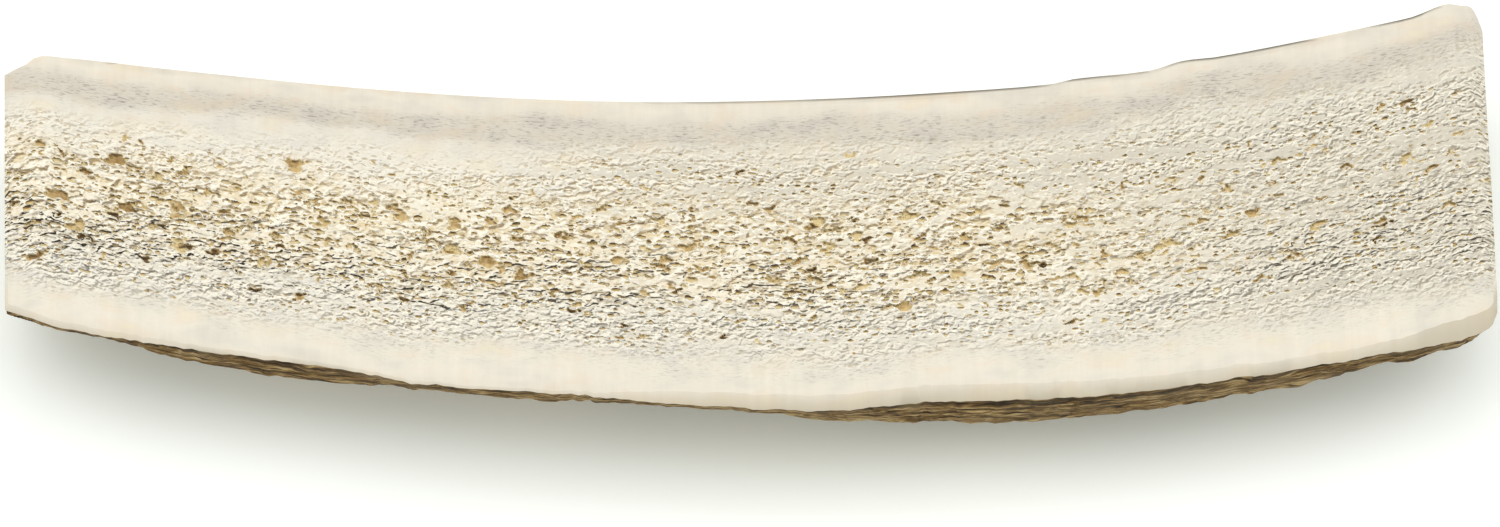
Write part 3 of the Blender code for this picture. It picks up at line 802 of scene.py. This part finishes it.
def add_crumbs(bone, colour, size, zone, hollow_shade_most, highlight_most, shade_from, shade_most, shade_colour):
    """Torn crumbs of one size, with painted relief shading as if lit from the far side: painted shade on the
    side that faces the near edge, a painted highlight on the other.

    A side's painted shade or highlight comes from how much the height changes over one step.
    """
    tree, width = bone.tree, size[1]
    spot = add(tree, "VectorMath", {0: bone.torn, 1: per_mm(*size)}, operation="MULTIPLY")
    # the step leads towards the far side, where the painted light comes from
    step = (-0.1, 0.24, 0)
    beyond = add(tree, "VectorMath", {0: spot, 1: step}, operation="ADD")
    here, there = (
        add(tree, "TexNoise", {"Vector": at, "Scale": 1, "Detail": 1, "Distortion": 0.8})
        for at in (spot, beyond)
    )
    slope = add(tree, "Math", {0: there, 1: here}, operation="SUBTRACT")
    rise = add(tree, "Math", {0: slope, 1: bone.steepness}, operation="MULTIPLY")
    in_rows = add(tree, "Math", {0: zone, 1: bone.rows}, operation="MULTIPLY")
    # tan hollows, partly the bone's own tone and partly painted shade, then painted highlights on the sides
    # facing the far edge and painted shade on the sides facing the near edge
    for value, none_at, full_at, most, where, drawn in (
        (here, 0.54, 0.36, hollow_shade_most, in_rows, bone.recess_colour),
        (rise, -0.04, -0.12, highlight_most, zone, linear("#fbf3e2")),
        (rise, shade_from, shade_from + 0.06, shade_most, zone, shade_colour),
    ):
        share = add(tree, "MapRange", {"Value": value, 1: none_at, 2: full_at, 3: 0, 4: most})
        shown = add(tree, "Math", {0: share, 1: where}, operation="MULTIPLY")
        colour = add(tree, "Mix", {0: shown, 6: colour, 7: drawn}, data_type="RGBA")
    steep_zone = add(tree, "Math", {0: bone.steep_along, 1: zone}, operation="MULTIPLY")
    steep_height = add(tree, "Math", {0: here, 1: steep_zone}, operation="MULTIPLY")
    height = add(tree, "Math", {0: steep_height, 1: 3 * width}, operation="MULTIPLY")
    return colour, height


def add_pits(bone, colour, size, zone, share, shift):
    """Pits of one size: tan floors turning to brown painted shade under the far rim, and a painted highlight
    as a pale lip on the near side.

    About this share of the pattern's cells hold one pit, and more do in some rows.
    """
    tree, (length, width) = bone.tree, size
    spot = add(tree, "VectorMath", {0: bone.torn, 1: per_mm(*size), 2: shift}, operation="MULTIPLY_ADD")
    cells = add(tree, "TexVoronoi", {"Vector": spot, "Scale": 1, "Randomness": 0.9})
    chances = add(tree, "SeparateColor", {0: cells.outputs["Color"]})

    to_rows = (length / CRUMB_ROWS[0], width / CRUMB_ROWS[1], 0)
    row_spot = add(tree, "VectorMath", {0: cells.outputs["Position"], 1: to_rows}, operation="MULTIPLY")
    row_there = add(tree, "TexNoise", {"Vector": row_spot, "Scale": 1, "Detail": 2})
    luck = add(tree, "MapRange", {"Value": row_there, 1: 0.37, 2: 0.63, 3: -0.55, 4: 0.5})
    rarer = add(tree, "MapRange", {"Value": bone.along, 1: 0.6, 2: 0.85, 3: 0, 4: -0.1})
    in_row = add(tree, "Math", {0: chances.outputs[0], 1: luck}, operation="ADD")
    chance = add(tree, "Math", {0: in_row, 1: rarer}, operation="ADD")
    chosen = add(tree, "MapRange", {"Value": chance, 1: 1 - share, 2: 1.1 - share, 3: 0, 4: zone})

    reach = add(tree, "MapRange", {"Value": chances.outputs[1], 1: 0, 2: 1, 3: 0.22, 4: 0.44})
    ragged_rim = add(tree, "MapRange", {"Value": bone.ragged, 1: 0.3, 2: 0.7, 3: -0.16, 4: 0.16})
    ragged_reach = add(tree, "Math", {0: reach, 1: ragged_rim}, operation="ADD")
    within = add(tree, "Math", {0: ragged_reach, 1: cells.outputs["Distance"]}, operation="SUBTRACT")
    inside = add(tree, "MapRange", {"Value": within, 1: 0, 2: 0.06 / width, 3: 0, 4: chosen})
    # the floor turns from tan to brown towards the far rim: painted shade under that rim
    from_middle = add(tree, "VectorMath", {0: spot, 1: cells.outputs["Position"]}, operation="SUBTRACT")
    towards_far = add(tree, "SeparateXYZ", {0: from_middle}).outputs["Y"]
    share_far = add(tree, "MapRange", {"Value": towards_far, 1: -0.3, 2: 0.3, 3: 0, 4: 1})
    pit_tan_and_shade = add(tree, "ValToRGB", {"Fac": share_far}, stops=(
        (0.1, "#e0cb9b"), (0.4, "#c9ad76"), (0.68, "#80622f"), (0.92, "#3a2a13"),
    ))
    shaded_pits = add(tree, "Mix", {0: inside, 6: colour, 7: pit_tan_and_shade}, data_type="RGBA")

    # a pale lip just outside the near rim: painted highlight
    near_half = add(tree, "MapRange", {"Value": towards_far, 1: -0.05, 2: -0.25, 3: 0, 4: chosen})
    lip = add(tree, "MapRange", {"Value": within, 1: -0.14 / width, 2: -0.05 / width, 3: 0, 4: near_half})
    outside = add(tree, "Math", {0: within, 1: 0}, operation="LESS_THAN")
    highlight_shown = add(tree, "Math", {0: lip, 1: outside}, operation="MULTIPLY")
    highlighted = add(tree, "Mix", {0: highlight_shown, 6: shaded_pits, 7: linear("#fff8ea")}, data_type="RGBA")
    height = add(tree, "Math", {0: inside, 1: -0.8 * length}, operation="MULTIPLY")
    return highlighted, height


def add_pore_floors(bone, colour, pore, dark, fall):
    """Floors of the pores that are modelled, tan or brown, crisp at their ragged rims, with painted shade on
    the wall under the far rim and a painted highlight on the near rim.
    """
    tree = bone.tree
    ragged_depth = add(tree, "Math", {0: bone.ragged, 1: 0.04, 2: pore}, operation="MULTIPLY_ADD")
    in_pore = add(tree, "MapRange", {"Value": ragged_depth, 1: 0.07, 2: 0.1, 3: 0, 4: 0.95})
    # tan to brown by the painted darkness, which holds painted shade in each pore's hole
    tinted = add(tree, "Math", {0: bone.ragged, 1: 0.5, 2: dark}, operation="MULTIPLY_ADD")
    tan = add(tree, "ValToRGB", {"Fac": tinted}, stops=(
        (0.2, "#e2cf9f"), (0.5, "#cdb078"), (0.75, "#9d7a43"), (1.0, "#56401f"),
    ))
    tanned = add(tree, "Mix", {0: in_pore, 6: colour, 7: tan}, data_type="RGBA")

    # painted shade on the wall under the far rim, and a painted highlight as a pale lip on the near rim
    far_wall_shade = add(tree, "MapRange", {"Value": fall, 1: 0.5, 2: 1.8, 3: 0, 4: 0.75})
    far_wall_shade_inside = add(tree, "Math", {0: far_wall_shade, 1: in_pore}, operation="MULTIPLY")
    far_wall_shaded = add(tree, "Mix", {0: far_wall_shade_inside, 6: tanned, 7: linear("#4f3c20")}, data_type="RGBA")
    lip_depth = add(tree, "MapRange", {"Value": pore, 1: 0.01, 2: 0.04, 3: 0, 4: 0.85})
    # towards is the painted highlight on the near rim
    towards = add(tree, "MapRange", {"Value": fall, 1: -0.2, 2: -0.9, 3: 0, 4: lip_depth})
    return add(tree, "Mix", {0: towards, 6: far_wall_shaded, 7: linear("#fbf4e4")}, data_type="RGBA")


def add_ground_edges(bone, colour, layer, dark):
    """Ground bevels that turn duller and browner further below the face on the near side and at its right
    end, partly the ground bone's own tone and partly painted shade, as that side faces away from the lamps;
    and a thin dark line of torn bark along the far lip.
    """
    tree = bone.tree
    height = add(tree, "SeparateXYZ", {0: bone.grain}).outputs["Z"]
    # the near bevel darkens further down: the ground bone's tone and painted shade
    right_end = add(tree, "MapRange", {"Value": bone.along, 1: 0.9, 2: 0.97, 3: 0.2, 4: 0.6})
    below = add(tree, "MapRange", {"Value": height, 1: TOP - 0.04, 2: TOP - 0.85, 3: right_end, 4: 0.7})
    cut = add(tree, "Math", {0: height, 1: TOP - 0.04}, operation="LESS_THAN")
    cortex = add(tree, "MapRange", {"Value": bone.place, 1: 0.88, 2: 0.92, 3: 0, 4: 1})
    ground = add(tree, "Math", {0: below, 1: cortex}, operation="MULTIPLY")
    ground_cut = add(tree, "Math", {0: ground, 1: cut}, operation="MULTIPLY")
    bevelled = add(tree, "Mix", {0: ground_cut, 6: colour, 7: linear("#b9ab92")}, data_type="RGBA")

    on_lip = add(tree, "Math", {0: layer, 1: 0.02}, operation="LESS_THAN")
    bark_line = add(tree, "Math", {0: dark, 1: on_lip}, operation="MULTIPLY")
    return add(tree, "Mix", {0: bark_line, 6: bevelled, 7: linear("#3d301e")}, data_type="RGBA")


def sawn_antler_bone():
    """Antler bone as the saw left it: cream and dense outside, greyer and porous inside."""
    material, tree, shader, grain = start_material("sawn_antler_bone")
    layer, pore, dark, fall = (
        add(tree, "Attribute", attribute_name=name).outputs["Fac"]
        for name in ("layer", "pore", "dark", "fall")
    )
    bone = SimpleNamespace(tree=tree, grain=grain)
    add_zones(bone, layer)
    colour = add_sawn_surface(bone)
    add_crumb_rules(bone)

    # sizes and zones. Crumbs: the most that the hollows' tan and painted shade and the painted highlights
    # show, the steepness from which a side gets painted shade, how dark that shade is, and its colour. Pits:
    # the share of cells with one, and a shift
    crumbs = (
        (COARSE_CRUMBS, bone.core, 0.85, 0.85, 0.07, 0.75, bone.line_colour),
        (FINE_CRUMBS, bone.fine, 0.4, 0.75, 0.07, 0.6, bone.line_colour),
        # the slim strokes are near-black painted shade
        (SLIM_STROKES, bone.strokes, 0, 0.4, 0.1, 1, linear("#2a1f12")),
    )
    pits = (
        (WIDE_PITS, bone.core, 0.8, (0, 0, 0)),
        (SMALL_PITS, bone.spongy, 0.55, (7, 3, 0)),
    )
    relief = add(tree, "Math", {0: bone.saw, 1: 0.1}, operation="MULTIPLY")
    for make, kinds in ((add_crumbs, crumbs), (add_pits, pits)):
        for kind in kinds:
            colour, height = make(bone, colour, *kind)
            relief = add(tree, "Math", {0: relief, 1: height}, operation="ADD")
    colour = add_pore_floors(bone, colour, pore, dark, fall)
    colour = add_ground_edges(bone, colour, layer, dark)

    bump = add(tree, "Bump", {"Height": relief, "Strength": 1, "Distance": 0.12 * MM})
    # the dense bone is polished a little by the saw, and the porous bone is dull
    shine = add(tree, "MapRange", {"Value": bone.spongy, 1: 0, 2: 1, 3: 0.48, 4: 0.72})
    for name, node in (("Base Color", colour), ("Normal", bump), ("Roughness", shine)):
        tree.links.new(main_output(node), shader.inputs[name])
    shader.inputs["IOR"].default_value = 1.54
    shader.inputs["Specular IOR Level"].default_value = 0.35
    return material


def antler_bark():
    """The antler's brown outside: fibrous, dull, pale on the ridges and dark in the grooves."""
    material, tree, shader, grain = start_material("antler_bark")
    relief, dark = (
        add(tree, "Attribute", attribute_name=name).outputs["Fac"] for name in ("relief", "dark")
    )
    strand_place = add(tree, "VectorMath", {0: grain, 1: per_mm(*BARK_STRANDS)}, operation="MULTIPLY")
    strands = add(tree, "TexNoise", {
        "Vector": strand_place, "Scale": 1, "Detail": 6, "Roughness": 0.7, "Distortion": 0.4,
    })
    height = add(tree, "MapRange", {"Value": relief, 1: -1.1, 2: 1.1, 3: -0.12, 4: 0.12})
    tone = add(tree, "Math", {0: strands, 1: height}, operation="ADD")
    coloured = add(tree, "ValToRGB", {"Fac": tone}, stops=(
        (0.38, "#2a1e10"), (0.44, "#543f20"), (0.5, "#7a5d34"), (0.56, "#9c7f51"), (0.64, "#c4aa79"),
    ))

    # greyer patches, and a dark edge of painted shade under the lips
    patch_place = add(tree, "VectorMath", {0: grain, 1: per_mm(*BARK_PATCHES)}, operation="MULTIPLY")
    patches = add(tree, "TexNoise", {"Vector": patch_place, "Scale": 1, "Detail": 3})
    patch = add(tree, "MapRange", {"Value": patches, 1: 0.45, 2: 0.65, 3: 0, 4: 0.25})
    patched = add(tree, "Mix", {0: patch, 6: coloured, 7: linear("#85765c")}, data_type="RGBA")
    edge = add(tree, "Math", {0: dark, 1: 0.8}, operation="MULTIPLY")
    shade_edged = add(tree, "Mix", {0: edge, 6: patched, 7: linear("#2b2013")}, data_type="RGBA")

    bump = add(tree, "Bump", {"Height": strands, "Strength": 0.8, "Distance": 0.35 * MM})
    for name, node in (("Base Color", shade_edged), ("Normal", bump)):
        tree.links.new(main_output(node), shader.inputs[name])
    shader.inputs["Roughness"].default_value = 0.78
    shader.inputs["IOR"].default_value = 1.5
    shader.inputs["Specular IOR Level"].default_value = 0.3
    return material


def white_floor():
    """White opal acrylic under the piece, lit faintly from below so that it stays pure white."""
    material = bpy.data.materials.new("opal_acrylic")
    material.use_nodes = True
    shader = material.node_tree.nodes["Principled BSDF"]
    shader.inputs["Base Color"].default_value = linear("#fafbf9")
    shader.inputs["Roughness"].default_value = 0.9
    shader.inputs["Specular IOR Level"].default_value = 0.1
    shader.inputs["Emission Color"].default_value = linear("#f9fff0")
    shader.inputs["Emission Strength"].default_value = FLOOR_GLOW
    mesh = bpy.data.meshes.new("floor")
    corners = [(x * FLOOR_HALF, y * FLOOR_HALF, 0) for x, y in ((-1, -1), (1, -1), (1, 1), (-1, 1))]
    mesh.from_pydata(corners, [], [(0, 1, 2, 3)])
    mesh.materials.append(material)
    floor = bpy.data.objects.new("floor", mesh)
    bpy.context.collection.objects.link(floor)


def lights():
    """A row of soft lamps above the piece and a little behind it, and an even pale surround."""
    for aside in LAMP_SIDES:
        lamp = bpy.data.lights.new("back_light", "SUN")
        lamp.energy = LAMP_STRENGTH
        lamp.angle = LAMP_SPREAD
        stand = bpy.data.objects.new("back_light", lamp)
        bpy.context.collection.objects.link(stand)
        stand.rotation_euler = Vector((aside, LAMP_BACK, LAMP_HEIGHT)).to_track_quat("Z", "Y").to_euler()
    world = bpy.data.worlds.new("pale_surround")
    bpy.context.scene.world = world
    world.use_nodes = True
    background = world.node_tree.nodes["Background"]
    background.inputs["Color"].default_value = SURROUND_COLOUR
    background.inputs["Strength"].default_value = SURROUND_STRENGTH
    bpy.context.scene.view_settings.view_transform = "Standard"


def camera():
    """Looks down on the sawn face from the near side, as the photo does."""
    view = bpy.data.cameras.new("camera")
    view.lens = view.sensor_width * CAMERA_DISTANCE / PHOTO_WIDTH
    eye = bpy.data.objects.new("camera", view)
    bpy.context.collection.objects.link(eye)
    back = Vector((0, -math.cos(CAMERA_ELEVATION), math.sin(CAMERA_ELEVATION)))
    eye.location = CAMERA_AIM + CAMERA_DISTANCE * back
    eye.rotation_euler = (math.pi / 2 - CAMERA_ELEVATION, 0, 0)
    bpy.context.scene.camera = eye


camera()
piece = bpy.data.objects.new("split_antler_half", build_mesh())
bpy.context.collection.objects.link(piece)
piece.data.materials.append(sawn_antler_bone())
piece.data.materials.append(antler_bark())
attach(piece, BODY)
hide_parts(NODE)
white_floor()
lights()
